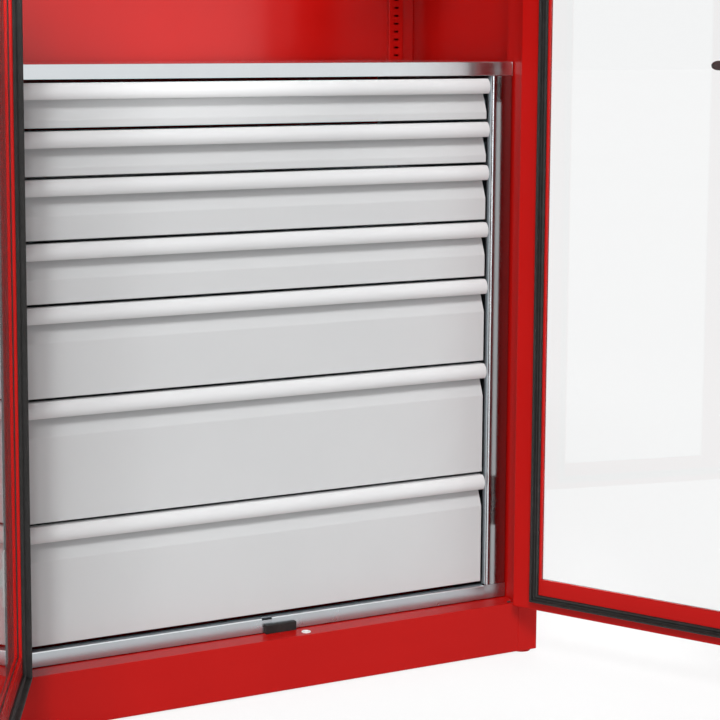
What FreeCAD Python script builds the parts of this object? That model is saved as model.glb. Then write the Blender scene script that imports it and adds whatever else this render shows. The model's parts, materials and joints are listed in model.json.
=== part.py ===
import FreeCAD, Part
import math
import os
import sys

import Sketcher

# Two-door steel cabinet with a built-in stack of seven drawers.
# Frame: millimetres, +Z up, front faces -Y, +X to the right seen from the front.
# Origin: on the floor, centre of the carcass footprint.

doc = FreeCAD.newDocument("tool_cabinet")
sheet = doc.addObject("Spreadsheet::Sheet", "Dims")

DIMENSIONS = [
    ("cab_width", 1050.0),
    ("cab_depth", 450.0),
    ("cab_height", 2000.0),
    ("skin", 1.2),            # carcass, door and housing sheet
    ("foot_rise", 4.0),       # floor to the underside of the carcass
    ("foot_radius", 17.0),
    ("ledge_top", 95.0),      # top of the plinth ledge
    ("post_face", 40.0),      # front post, seen from the front
    ("post_return", 59.0),    # front post, front to back
    ("header_under", 1958.0), # underside of the header above the doors
    ("back_inset", 11.2),     # rear face to the inner face of the back pan
    ("gap_line", 39.0),       # front face to the plane of the drawer gaps
    ("frame_set", 41.0),      # front face to the galvanised frame
    ("drawer_half", 430.5),
    ("drawer_gap", 5.0),
    ("stack_low", 127.5),     # lowest drawer gap, centre line
    ("unit_small", 75.0),
    ("unit_medium", 100.0),
    ("unit_deep", 150.0),
    ("unit_large", 200.0),
    ("drawer_sheet", 1.2),
    ("tray_half", 424.0),
    ("tray_back", 172.0),
    ("slide_rise", 20.0),     # lower gap to the slide's centre
    ("housing_half", 438.8),
    ("housing_flange", 442.3),
    ("housing_wide", 482.8),
    ("housing_top_z", 1054.0),
    ("rail_low", 96.6),
    ("rail_high", 121.2),
    ("housing_rear", 203.0),
    ("door_low", 97.5),
    ("door_high", 1955.5),
    ("door_edge", 483.5),     # hinge-side edge of a closed door
    ("door_mid", 1.5),        # meeting edge of a closed door
    ("door_thick", 26.0),
    ("stile_hinge", 54.5),
    ("stile_lock", 88.0),
    ("rail_door", 56.0),
    ("pane_gauge", 4.0),
    ("pane_depth", 6.0),      # door's inner face to the pane
    ("window_setback", 8.0),
    ("door_open", 116.0),
    ("hinge_x", 485.0),
    ("hinge_out", 7.0),       # hinge axis in front of the front face
    ("knuckle_r", 6.0),
    ("pin_r", 3.0),
    ("seal_wide", 12.0),
    ("rod_x", 62.0),
    ("rod_in", 16.0),         # front face to the rod axis
    ("rod_r", 4.5),
    ("lock_x", 44.0),
    ("lock_z", 1050.0),
    ("slot_low", 1062.5),
    ("slot_pitch", 15.0),
    ("shelf_slot_a", 26.0),
    ("shelf_slot_b", 42.0),
]


class Q:
    """A length kept both as a spreadsheet expression and as its present value."""

    def __init__(self, text, value):
        self.text, self.value = text, float(value)

    def __add__(self, o):
        o = q(o)
        return Q("(%s + %s)" % (self.text, o.text), self.value + o.value)

    def __sub__(self, o):
        o = q(o)
        return Q("(%s - %s)" % (self.text, o.text), self.value - o.value)

    def __mul__(self, o):
        o = q(o)
        return Q("(%s * %s)" % (self.text, o.text), self.value * o.value)

    def __truediv__(self, o):
        o = q(o)
        return Q("(%s / %s)" % (self.text, o.text), self.value / o.value)

    def __neg__(self):
        return Q("(-1 * %s)" % self.text, -self.value)

    __radd__ = __add__

    def __rsub__(self, o):
        return q(o) - self

    __rmul__ = __mul__


def q(x):
    if isinstance(x, Q):
        return x
    return Q("(%.6f)" % x, x)


D = {}
for n, (alias, value) in enumerate(DIMENSIONS, start=1):
    sheet.set("A%d" % n, alias)
    sheet.set("B%d" % n, "%g" % value)
    sheet.setAlias("B%d" % n, alias)
    D[alias] = Q("Dims." + alias, value)
doc.recompute()

parts = []
counter = [0]


def fresh(stem):
    counter[0] += 1
    return "%s_%04d" % (stem, counter[0])


def bind(obj, prop, length):
    length = q(length)
    if prop.startswith("Placement.Base."):
        base = obj.Placement.Base
        setattr(base, prop[-1], length.value)
        obj.Placement = FreeCAD.Placement(base, obj.Placement.Rotation)
    else:
        setattr(obj, prop, length.value)
    if "Dims." in length.text:
        obj.setExpression(prop, length.text)


def box(x0, x1, y0, y1, z0, z1, stem="block"):
    """Part::Box between two corners; each pair may be given in either order."""
    obj = doc.addObject("Part::Box", fresh(stem))
    for prop, axis, a, b in (
        ("Length", "x", x0, x1),
        ("Width", "y", y0, y1),
        ("Height", "z", z0, z1),
    ):
        a, b = q(a), q(b)
        if a.value > b.value:
            a, b = b, a
        bind(obj, prop, b - a)
        bind(obj, "Placement.Base." + axis, a)
    return obj


TURN = {
    "x": FreeCAD.Rotation(FreeCAD.Vector(0, 1, 0), 90),
    "y": FreeCAD.Rotation(FreeCAD.Vector(1, 0, 0), -90),
    "z": FreeCAD.Rotation(),
}


def rod(axis, x, y, z, radius, length, stem="round"):
    """Part::Cylinder from (x, y, z) along +axis."""
    obj = doc.addObject("Part::Cylinder", fresh(stem))
    obj.Placement = FreeCAD.Placement(FreeCAD.Vector(), TURN[axis])
    bind(obj, "Radius", radius)
    bind(obj, "Height", length)
    for a, v in zip("xyz", (x, y, z)):
        bind(obj, "Placement.Base." + a, v)
    return obj


def cone(axis, x, y, z, r1, r2, length, stem="taper"):
    obj = doc.addObject("Part::Cone", fresh(stem))
    obj.Placement = FreeCAD.Placement(FreeCAD.Vector(), TURN[axis])
    bind(obj, "Radius1", r1)
    bind(obj, "Radius2", r2)
    bind(obj, "Height", length)
    for a, v in zip("xyz", (x, y, z)):
        bind(obj, "Placement.Base." + a, v)
    return obj


def hexagon(x, y, z, radius, length, stem="nut"):
    obj = doc.addObject("Part::Prism", fresh(stem))
    obj.Polygon = 6
    bind(obj, "Circumradius", radius)
    bind(obj, "Height", length)
    for a, v in zip("xyz", (x, y, z)):
        bind(obj, "Placement.Base." + a, v)
    return obj


def fuse(name, items, refine=True):
    if len(items) == 1:
        return items[0]
    obj = doc.addObject("Part::MultiFuse", name)
    obj.Shapes = items
    obj.Refine = refine
    return obj


def cut(name, base, tools):
    if len(tools) > 1:
        tool = doc.addObject("Part::Compound", fresh("tools"))
        tool.Links = tools
    else:
        tool = tools[0]
    obj = doc.addObject("Part::Cut", name)
    obj.Base, obj.Tool = base, tool
    return obj


def group(name, items):
    obj = doc.addObject("Part::Compound", name)
    obj.Links = items
    return obj


def mirror_x(item, name=None):
    obj = doc.addObject("Part::Mirroring", name or fresh("mirror"))
    obj.Source = item
    obj.Normal = FreeCAD.Vector(1, 0, 0)
    obj.Base = FreeCAD.Vector(0, 0, 0)
    return obj


def part(label, obj):
    obj.Label = label
    parts.append(obj)
    return obj


def origin_plane(body, role):
    return [o for o in body.Origin.OriginFeatures if o.Role == role][0]


def new_body(name):
    body = doc.addObject("PartDesign::Body", name)
    doc.recompute()
    return body


def sketch(body, stem, role, points, offset=0.0):
    """A closed, fully fixed profile. Each entry is (u, v), or ('arc', (mu, mv), radius) between two corners."""
    sk = body.newObject("Sketcher::SketchObject", fresh(stem))
    sk.AttachmentSupport = [(origin_plane(body, role), "")]
    sk.MapMode = "FlatFace"
    offset = q(offset)
    sk.AttachmentOffset = FreeCAD.Placement(
        FreeCAD.Vector(0, 0, offset.value), FreeCAD.Rotation()
    )
    if "Dims." in offset.text:
        sk.setExpression("AttachmentOffset.Base.z", offset.text)
    corners, arcs = [], {}
    for p in points:
        if p[0] == "arc":
            arcs[len(corners) - 1] = p
        else:
            corners.append((q(p[0]), q(p[1])))
    n = len(corners)
    ends = []
    for i in range(n):
        a, b = corners[i], corners[(i + 1) % n]
        va = FreeCAD.Vector(a[0].value, a[1].value, 0)
        vb = FreeCAD.Vector(b[0].value, b[1].value, 0)
        if i in arcs:
            mid = arcs[i][1]
            vm = FreeCAD.Vector(q(mid[0]).value, q(mid[1]).value, 0)
            arc = Part.Arc(va, vm, vb)
            g = sk.addGeometry(arc, False)
            first = (sk.getPoint(g, 1) - va).Length < 1e-6
            ends.append((g, 1 if first else 2, 2 if first else 1))
            arcs[i] = (g, sk.Geometry[g].Radius)
        else:
            g = sk.addGeometry(Part.LineSegment(va, vb), False)
            ends.append((g, 1, 2))
    for i in range(n):
        a, b = ends[i], ends[(i + 1) % n]
        sk.addConstraint(Sketcher.Constraint("Coincident", a[0], a[2], b[0], b[1]))
    for i in range(n):
        g, start, _ = ends[i]
        for kind, v in (("DistanceX", corners[i][0]), ("DistanceY", corners[i][1])):
            c = sk.addConstraint(Sketcher.Constraint(kind, -1, 1, g, start, v.value))
            if "Dims." in v.text:
                sk.setExpression("Constraints[%d]" % c, v.text)
    for g, radius in arcs.values():
        sk.addConstraint(Sketcher.Constraint("Radius", g, radius))
    return sk


def circles(body, stem, role, centres, offset=0.0):
    """A sketch of round holes: (u, v, radius) each."""
    sk = body.newObject("Sketcher::SketchObject", fresh(stem))
    sk.AttachmentSupport = [(origin_plane(body, role), "")]
    sk.MapMode = "FlatFace"
    offset = q(offset)
    sk.AttachmentOffset = FreeCAD.Placement(
        FreeCAD.Vector(0, 0, offset.value), FreeCAD.Rotation()
    )
    if "Dims." in offset.text:
        sk.setExpression("AttachmentOffset.Base.z", offset.text)
    for u, v, r in centres:
        u, v, r = q(u), q(v), q(r)
        g = sk.addGeometry(
            Part.Circle(
                FreeCAD.Vector(u.value, v.value, 0), FreeCAD.Vector(0, 0, 1), r.value
            ),
            False,
        )
        for kind, w in (("DistanceX", u), ("DistanceY", v)):
            c = sk.addConstraint(Sketcher.Constraint(kind, -1, 1, g, 3, w.value))
            if "Dims." in w.text:
                sk.setExpression("Constraints[%d]" % c, w.text)
        c = sk.addConstraint(Sketcher.Constraint("Radius", g, r.value))
        if "Dims." in r.text:
            sk.setExpression("Constraints[%d]" % c, r.text)
    return sk


def pad(body, sk, length, midplane=False, back=False):
    f = body.newObject("PartDesign::Pad", fresh("Pad"))
    f.Profile = sk
    f.Type = "Length"
    bind(f, "Length", length)
    f.Midplane = midplane
    f.Reversed = back
    doc.recompute()
    return f


def pocket(body, sk, length, midplane=False, back=False):
    before = body.Shape.Volume
    f = body.newObject("PartDesign::Pocket", fresh("Pocket"))
    f.Profile = sk
    f.Type = "Length"
    bind(f, "Length", length)
    f.Midplane = midplane
    f.Reversed = back
    doc.recompute()
    if not body.Shape.Volume < before - 1e-3:
        sys.exit("pocket %s in %s removes nothing" % (f.Name, body.Label))
    return f


# ---------------------------------------------------------------- levels
front = -(D["cab_depth"] / 2)
rear = D["cab_depth"] / 2
half = D["cab_width"] / 2
t = D["skin"]
low = D["foot_rise"]
ledge = D["ledge_top"]
roof = D["cab_height"]
post_in = half - D["post_face"]           # inner face of a front post
post_rear = front + D["post_return"]
back_face = rear - D["back_inset"]        # inner face of the back pan
gapY = front + D["gap_line"]
frameY = front + D["frame_set"]
clear = 0.2

# ---------------------------------------------------------------- carcass


def side_panel(s, name):
    """Side sheet and front post folded from one blank, with a floor flange."""
    body = new_body(name)
    xo, xi, lip = half * s, post_in * s, (post_in + 15) * s
    xt, xf = (half - t) * s, (post_in + t) * s
    outline = [
        (xi, front), (xo, front), (xo, rear), (xt, rear), (xt, front + t),
        (xf, front + t), (xf, post_rear - t), (lip, post_rear - t),
        (lip, post_rear), (xi, post_rear),
    ]
    if s < 0:
        outline = outline[::-1]
    sk = sketch(body, "fold_profile", "XY_Plane", outline, low)
    pad(body, sk, roof - t - low)
    flange = [(xf, front + t), (xt, front + t), (xt, back_face - clear), (xf, back_face - clear)]
    if s < 0:
        flange = flange[::-1]
    pad(body, sketch(body, "floor_flange", "XY_Plane", flange, low), t)
    xh = (half - 20) * s
    holes = [
        (xh, q(-150), 5.5), (xh, q(150), 5.5),
        (xh, front + 20, 5.2), (xh, q(195), 5.2),
    ]
    pocket(body, circles(body, "floor_holes", "XY_Plane", holes, low + t), t + 0.5)
    return part(name, body)


side_panel(1, "side_panel_right")
side_panel(-1, "side_panel_left")

pan_half = half - t - clear
pan = box(-pan_half, pan_half, back_face, rear, low, roof - t - clear, "back_pan")
hollow = box(-(pan_half - t), pan_half - t, back_face + t, rear + 5, low + t, roof - t - clear - t, "back_hollow")
anchors = [rod("y", x, back_face - 5, roof - 100, 4.5, 12, "wall_anchor") for x in (q(-350), q(350))]
part("back_panel", cut("back_panel", pan, [hollow] + anchors))

rod_x, rod_y = D["rod_x"], front + D["rod_in"]
hw = post_in - clear
under = D["header_under"]
top_parts = fuse("top_sheets", [
    box(-half, half, front, rear, roof - t, roof, "lid"),
    box(-hw, hw, front, front + t, under, roof - t, "header_front"),
    box(-hw, hw, front, frameY + t, under, under + t, "header_under"),
    box(-hw, hw, frameY, frameY + t, under - 33, under + t, "header_drop"),
])
part("top_panel", cut("top_panel", top_parts, [rod("z", rod_x, rod_y, under - 2, 7, 6, "upper_hole")]))

base_parts = fuse("base_sheets", [
    box(-hw, hw, front, post_rear + 1, ledge - t, ledge, "ledge_front"),
    box(-pan_half, pan_half, post_rear + 0.2, back_face - clear, ledge - t, ledge, "ledge_rear"),
    box(-hw, hw, front, front + t, low, ledge, "plinth_apron"),
    box(-hw, hw, front, front + 30, low, low + t, "plinth_return"),
])
part("base_tray", cut("base_tray", base_parts, [
    rod("z", rod_x, rod_y, ledge - 4, 7, 6, "lower_hole"),
    rod("z", q(469), front + 8, ledge - 4, 2.6, 6, "screw_hole"),
    rod("z", q(-469), front + 8, ledge - 4, 2.6, 6, "screw_hole"),
]))

feet = []
for sx in (-1, 1):
    for fy in (front + 20, q(195)):
        fx = (half - 20) * sx
        feet.append(fuse(fresh("foot"), [
            rod("z", fx, fy, 0, D["foot_radius"], low - 1.5, "pad"),
            cone("z", fx, fy, low - 1.5, D["foot_radius"], D["foot_radius"] - 3, 1.5, "pad_bevel"),
            rod("z", fx, fy, low - 1, 5, 42, "stud"),
            hexagon(fx, fy, low + t, 9.2, 8, "lock_nut"),
        ]))
part("levelling_feet", group("levelling_feet", feet))

# ---------------------------------------------------------------- shelf uprights
slot_z, pitch = D["slot_low"], D["slot_pitch"]


def upright(name, xc, yweb, toward):
    """Slotted channel; its web faces the shelves, its two legs run back to the sheet behind."""
    body = new_body(name)
    leg = 9.0
    a, b = xc - 15.7, xc + 15.7
    y0, y1, y2 = q(yweb), q(yweb) + 1.2 * toward, q(yweb) + leg * toward
    outline = [(a, y0), (b, y0), (b, y2), (b - 1.2, y2), (b - 1.2, y1), (a + 1.2, y1), (a + 1.2, y2), (a, y2)]
    if toward < 0:
        outline = outline[::-1]
    pad(body, sketch(body, "channel", "XY_Plane", outline, ledge), under - ledge)
    # slots: the XZ plane's normal is -Y, so its offset is the negative of Y
    ymid = y0 + 0.6 * toward
    sk = sketch(body, "slot", "XZ_Plane", [
        (xc - 5.3, slot_z - 1.75), (xc + 5.3, slot_z - 1.75),
        (xc + 5.3, slot_z + 1.75), (xc - 5.3, slot_z + 1.75)], -ymid)
    f = pocket(body, sk, 3, midplane=True)
    pattern = body.newObject("PartDesign::LinearPattern", fresh("SlotPattern"))
    pattern.Originals = [f]
    pattern.Direction = (origin_plane(body, "Z_Axis"), [""])
    pattern.Occurrences = 59
    bind(pattern, "Length", pitch * 58)
    body.Tip = pattern
    doc.recompute()
    return body


rear_x, front_x = q(479.6), q(503.7)
rear_web = back_face - 9
front_web = post_rear + 9
uprights = [
    upright("upright_rear_right", rear_x, rear_web, 1),
    upright("upright_rear_left", -rear_x, rear_web, 1),
    upright("upright_front_right", front_x, front_web, -1),
    upright("upright_front_left", -front_x, front_web, -1),
]
part("shelf_uprights", group("shelf_uprights", uprights))

clips = []
for label, alias in (("shelf_lower", "shelf_slot_a"), ("shelf_upper", "shelf_slot_b")):
    zc = slot_z + pitch * D[alias]
    rest = zc - 10
    y0, y1 = front_web + 7, rear_web - 7
    outer = box(q(-518), q(518), y0, y1, rest, rest + 25, label + "_outer")
    inner = box(q(-517), q(517), y0 + 1, y1 - 1, rest - 1, rest + 24, label + "_inner")
    part(label, cut(label, outer, [inner]))
    for sx in (-1, 1):
        xr, xf = rear_x * sx, front_x * sx
        clips.append(fuse(fresh("rear_clip"), [
            box(xr - 4.8, xr + 4.8, rear_web - 1.8, rear_web, zc - 12, zc + 4, "clip_plate"),
            box(xr - 4.8, xr + 4.8, rear_web - 0.5, rear_web + 4, zc - 1.5, zc + 1.5, "clip_tongue"),
            box(xr - 4.8, xr + 4.8, rear_web - 18, rear_web, zc - 12, zc - 10, "clip_ledge"),
        ]))
        clips.append(fuse(fresh("front_clip"), [
            box(xf - 4.8, xf + 4.8, front_web, front_web + 1.8, zc - 12, zc + 4, "clip_plate"),
            box(xf - 4.8, xf + 4.8, front_web - 4, front_web + 0.5, zc - 1.5, zc + 1.5, "clip_tongue"),
            box(xf - 4.8, xf + 4.8, front_web, front_web + 18, zc - 12, zc - 10, "clip_ledge"),
        ]))
part("shelf_clips", group("shelf_clips", clips))

# ---------------------------------------------------------------- drawer housing
hh, hf, hwide = D["housing_half"], D["housing_flange"], D["housing_wide"]
htop, hrear = D["housing_top_z"], D["housing_rear"]
flange_low = D["rail_high"] + 0.4
flange_high = htop - 24.4


def housing_side(s):
    """Side sheet whose front flange is turned outwards, behind the short fold of the filler panel."""
    return fuse(fresh("housing_side"), [
        box((hh - t) * s, hh * s, frameY + 7, hrear, ledge, htop - t, "side_sheet"),
        box((hh - t) * s, (hf + 18) * s, frameY + 7, frameY + 7 + t, flange_low, flange_high, "side_flange"),
    ])


part("housing_sides", group("housing_sides", [housing_side(1), housing_side(-1)]))


def filler(s):
    a, b = hf + clear, hwide
    return fuse(fresh("filler"), [
        box(a * s, b * s, frameY, frameY + t, flange_low, flange_high, "filler_face"),
        box(a * s, (a + t) * s, frameY, frameY + 7, flange_low + 2, flange_high, "filler_fold"),
        box((b - t) * s, b * s, frameY, frameY + 16, flange_low, flange_high, "filler_fold"),
    ])


part("housing_filler_panels", group("housing_filler_panels", [filler(1), filler(-1)]))

rail_low, rail_high = D["rail_low"], D["rail_high"]
rail_parts = fuse("rail_sheets", [
    box(-hwide, hwide, frameY, frameY + t, rail_low, rail_high, "rail_face"),
    box(-(hh - t - clear), hh - t - clear, frameY, frameY + 18, rail_high - t, rail_high, "rail_top"),
    box(-(hh - t - clear), hh - t - clear, frameY + 16.8, frameY + 18, rail_low, rail_high, "rail_back"),
])
part("housing_bottom_rail", cut("housing_bottom_rail", rail_parts, [
    box(q(-9.5), q(9.5), frameY - 1, frameY + 6, rail_high - 3.5, rail_high + 1, "rail_notch")]))

top_sheet = fuse("housing_top_sheets", [
    box(-hwide, hwide, frameY, hrear, htop - t, htop, "cover"),
    box(-hwide, hwide, frameY, frameY + t, htop - 24, htop, "cover_flange"),
    box(-hwide, -(hwide - t), post_rear + 3, hrear, htop - 16, htop, "cover_edge"),
    box(hwide - t, hwide, post_rear + 3, hrear, htop - 16, htop, "cover_edge"),
    box(-(hh - t - clear), hh - t - clear, frameY, frameY + 8, htop - 24, htop - 24 + t, "cover_hem"),
])
part("housing_top", top_sheet)

braces = []
for bz in (q(150), q(960)):
    braces.append(fuse(fresh("brace"), [
        box(-(hh - t), hh - t, hrear - t, hrear, bz, bz + 45, "brace_web"),
        box(-(hh - t), hh - t, hrear - 12, hrear, bz, bz + t, "brace_lip"),
        box(-(hh - t), hh - t, hrear - 12, hrear, bz + 45 - t, bz + 45, "brace_lip"),
    ]))
part("housing_rear_braces", group("housing_rear_braces", braces))

# ---------------------------------------------------------------- drawers
# modules from the top down
modules = [
    D["unit_small"], D["unit_small"], D["unit_medium"], D["unit_medium"],
    D["unit_deep"], D["unit_large"], D["unit_large"],
]
total = modules[0]
for m in modules[1:]:
    total = total + m
top_gap = D["stack_low"] + total
dh, ds = D["drawer_half"], D["drawer_sheet"]
half_gap = D["drawer_gap"] / 2
flatY = gapY + 3
recessY = gapY + 14
rails = []
gap = top_gap
for index, unit in enumerate(modules, start=1):
    g = gap                 # gap line above this drawer
    b = gap - unit          # gap line below it
    name = "drawer_%d" % index

    # pressed front: hem, flat face, sloped facet and a recess behind the grip
    body = new_body(name + "_front")
    pad(body, sketch(body, "front_profile", "YZ_Plane", [
        (recessY + 1, b + half_gap), (recessY + 1, b + half_gap + ds),
        (flatY + ds, b + half_gap + ds), (flatY + ds, g - 60.3),
        (recessY + ds, g - 31.3), (recessY + ds, g - 4.6),
        (recessY, g - 4.6), (recessY, g - 31), (flatY, g - 60),
        (flatY, b + half_gap),
    ]), dh * 2, midplane=True)
    part(name + "_front", body)

    # grip rail: hollow rounded nose open below, closed by a thin cap at each end
    body = new_body(name + "_grip")
    pad(body, sketch(body, "grip_profile", "YZ_Plane", [
        (gapY, g - 2.5),
        ("arc", (gapY - 8, g - 14), 0),
        (gapY - 4.2, g - 27.4),
        ("arc", (gapY - 2.8, g - 28.1), 0),
        (gapY - 1.6, g - 27),
        ("arc", (gapY - 5.4, g - 14), 0),
        (gapY + 1.2, g - 4.6),
        (recessY - 1.7, g - 4.6),
        (recessY - 1.7, g - 18),
        (recessY - 0.1, g - 18),
        (recessY - 0.1, g - 4.6),
        (recessY + ds, g - 4.6),
        (recessY + ds, g - 2.5),
    ]), (dh - 1.6) * 2, midplane=True)
    for side in (-1, 1):
        cap = sketch(body, "cap_profile", "YZ_Plane", [
            (gapY, g - 2.5),
            ("arc", (gapY - 8, g - 14), 0),
            (gapY - 4.2, g - 27.4),
            ("arc", (gapY - 2.8, g - 28.1), 0),
            (gapY - 1.6, g - 27),
            (recessY - 0.1, g - 18),
            (recessY - 0.1, g - 2.5),
        ], (dh - 1.7) * side)
        pad(body, cap, 1.7, back=(side < 0))
    part(name + "_grip", body)

    # tray with welded runner channels and rear rollers
    th, tb = D["tray_half"], D["tray_back"]
    tray_front = recessY + ds
    zb, zt = b + 6, g - 17
    body = new_body(name + "_bin")
    pad(body, sketch(body, "tray_outline", "XY_Plane", [
        (-th, tray_front), (th, tray_front), (th, tb), (-th, tb)], zb), zt - zb)
    pocket(body, sketch(body, "tray_inside", "XY_Plane", [
        (-(th - ds), tray_front + ds), (th - ds, tray_front + ds),
        (th - ds, tb - ds), (-(th - ds), tb - ds)], zt), zt - zb - ds)
    sc = b + D["slide_rise"]
    pieces = [body]
    for s in (-1, 1):
        pieces += [
            box(th * s, (th + 1.2) * s, tray_front, tb + 2, sc - 12, sc + 12, "runner_web"),
            box(th * s, (th + 10.5) * s, tray_front, q(146), sc + 10.8, sc + 12, "runner_lip"),
            box(th * s, (th + 10.5) * s, tray_front, q(146), sc - 12, sc - 10.8, "runner_lip"),
            rod("x", th * s if s > 0 else -(th + 11), q(158), sc, 3, 11, "roller_pin"),
            rod("x", (th + 3) * s if s > 0 else -(th + 10.8), q(158), sc, 14.3, 7.8, "rear_roller"),
        ]
        rails.append(fuse(fresh("slide"), [
            box((hh - t - 1.2) * s, (hh - t) * s, post_rear, hrear - 12.5, sc - 16, sc + 16, "rail_web"),
            box((hh - t - 11) * s, (hh - t) * s, post_rear, hrear - 12.5, sc + 14.8, sc + 16, "rail_lip"),
            box((hh - t - 11) * s, (hh - t) * s, post_rear, hrear - 12.5, sc - 16, sc - 14.8, "rail_lip"),
            rod("x", (th + 3) if s > 0 else -(hh - t), post_rear + 14, sc, 3, hh - t - th - 3, "roller_pin"),
            rod("x", (th + 2.4) if s > 0 else -(th + 10.2), post_rear + 14, sc, 10.4, 7.8, "front_roller"),
        ]))
    part(name + "_tray", fuse(name + "_tray", pieces))
    gap = b
part("drawer_slide_rails", group("drawer_slide_rails", rails))

# ---------------------------------------------------------------- small carcass pieces
part("door_stop", group("door_stop", [
    box(q(-5), q(53), frameY - 6.8, frameY - 0.1, ledge, ledge + 15, "stop_pad")]))


def bush(z, down):
    flange = rod("z", rod_x, rod_y, z if down else z - 1.2, 8, 1.2, "bush_flange")
    neck = rod("z", rod_x, rod_y, z - 5 if down else z - 1, 6.9, 6, "bush_neck")
    bore = rod("z", rod_x, rod_y, z - 8, 5.2, 16, "bush_bore")
    return cut(fresh("bush"), fuse(fresh("bush_body"), [flange, neck]), [bore])


part("rod_bushes", group("rod_bushes", [bush(ledge, True), bush(under, False)]))

screws = []
for sx in (-1, 1):
    screws.append(fuse(fresh("screw"), [
        rod("z", q(469) * sx, front + 8, ledge, 3.4, 1.2, "screw_head"),
        rod("z", q(469) * sx, front + 8, ledge - 8, 2.4, 9, "screw_shank"),
    ]))
part("ledge_screws", group("ledge_screws", screws))

# ---------------------------------------------------------------- hinges
ax, ay = D["hinge_x"], front - D["hinge_out"]
kr, pr = D["knuckle_r"], D["pin_r"]
dl, dhigh = D["door_low"], D["door_high"]
hinge_zs = [dl + 164.5, (dl + dhigh) / 2, dhigh - 164.5]
leaves, pins = [], []
for s in (1, -1):
    for hz in hinge_zs:
        leaves.append(cut(fresh("post_leaf"), fuse(fresh("leaf_body"), [
            box(ax * s, (ax + 27) * s, front - 2.5, front, hz - 14.2, hz + 14.2, "leaf_plate"),
            rod("z", ax * s, ay, hz - 14.2, kr, 28.4, "leaf_knuckle"),
        ]), [rod("z", ax * s, ay, hz - 20, pr, 40, "pin_bore")]))
        pins.append(fuse(fresh("pin"), [
            rod("z", ax * s, ay, hz - 44, pr, 89, "pin_shaft"),
            cone("z", ax * s, ay, hz + 44.3, 5, 3.6, 2.2, "pin_head"),
        ]))
part("hinge_post_leaves", group("hinge_post_leaves", leaves))
part("hinge_pins", group("hinge_pins", pins))

# ---------------------------------------------------------------- doors


def swing(obj, s):
    """Turns a door piece, drawn closed, about its hinge axis to the open rest angle."""
    angle = D["door_open"] * s
    turn = math.radians(angle.value)
    cx, cy = (ax * s), ay
    c, sn = math.cos(turn), math.sin(turn)
    obj.Placement = FreeCAD.Placement(
        FreeCAD.Vector(
            cx.value - (cx.value * c - cy.value * sn),
            cy.value - (cx.value * sn + cy.value * c), 0),
        FreeCAD.Rotation(FreeCAD.Vector(0, 0, s), D["door_open"].value))
    a = "(%s * 1 deg)" % angle.text
    obj.setExpression("Placement.Base.x", "%s - (%s * cos(%s) - %s * sin(%s))" % (cx.text, cx.text, a, cy.text, a))
    obj.setExpression("Placement.Base.y", "%s - (%s * sin(%s) + %s * cos(%s))" % (cy.text, cx.text, a, cy.text, a))
    obj.setExpression("Placement.Rotation.Angle", D["door_open"].text)
    return obj


def door_part(label, obj, s):
    swing(obj, s)
    return part(label, obj)


door_in = front + D["door_thick"]      # inner face of a closed door
edge, mid = D["door_edge"], D["door_mid"]
win_a = edge - D["stile_hinge"]        # window edge, hinge side
win_b = D["stile_lock"] + mid          # window edge, lock side
win_l, win_h = dl + D["rail_door"], dhigh - D["rail_door"]
setback = D["window_setback"]          # the outer skin's window is this much larger on every side
out_a, out_b = win_a + setback, win_b - setback
out_l, out_h = win_l - setback, win_h + setback
pane_in = door_in - D["pane_depth"]
pane_out = pane_in - D["pane_gauge"]


def ring(a0, a1, y0, y1, z0, z1, wide, s, stem):
    """A rectangular ring, its outline given, reaching inwards by the given width."""
    return cut(fresh(stem), box(a0 * s, a1 * s, y0, y1, z0, z1, stem + "_block"),
               [box((a0 + wide) * s, (a1 - wide) * s, y0 - 1, y1 + 1, z0 + wide, z1 - wide, stem + "_hole")])


def door_frame(s, name):
    shell = box(mid * s, edge * s, front, door_in, dl, dhigh, "door_block")
    tools = [
        # hollow between the two skins, open towards the window
        box((mid + t) * s, (edge - t) * s, front + t, door_in - t, dl + t, dhigh - t, "door_hollow"),
        box(win_b * s, win_a * s, door_in - t - 1, door_in + 1, win_l, win_h, "inner_window"),
        box(out_b * s, out_a * s, front - 1, front + t + 1, out_l, out_h, "outer_window"),
    ]
    if s > 0:
        tools += [
            # long opening over the locking rods
            box(q(26), q(82), door_in - 2 * t, door_in + 1, win_l, win_h, "rod_opening"),
            rod("y", D["lock_x"], front - 1, D["lock_z"], 6.6, 4, "spindle_hole"),
            rod("z", rod_x, rod_y, dl - 1, 5.4, 4, "rod_hole"),
            rod("z", rod_x, rod_y, dhigh - 3, 5.4, 4, "rod_hole"),
        ]
    # both skins' window edges are folded in towards the pane
    folds = [
        ring(win_b, win_a, pane_in + 1, door_in, win_l, win_h, t, s, "inner_fold"),
        ring(out_b, out_a, front, pane_out - 1, out_l, out_h, t, s, "outer_fold"),
    ]
    return door_part(name, fuse(name, [cut(fresh("door_skins"), shell, tools)] + folds), s)


def door_beads(s, name):
    """Two glazing rings, one between each skin's fold and the pane."""
    return door_part(name, group(name, [
        ring(win_b, win_a, pane_in, pane_in + 1, win_l, win_h, 1.5, s, "inner_bead"),
        ring(out_b, out_a, pane_out - 1, pane_out, out_l, out_h, 2.2, s, "outer_bead"),
    ]), s)


def door_pane(s, name):
    sheet_ = box((out_b + 0.3) * s, (out_a - 0.3) * s, pane_out, pane_in, out_l + 0.3, out_h - 0.3, "pane_sheet")
    return door_part(name, group(name, [sheet_]), s)


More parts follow.
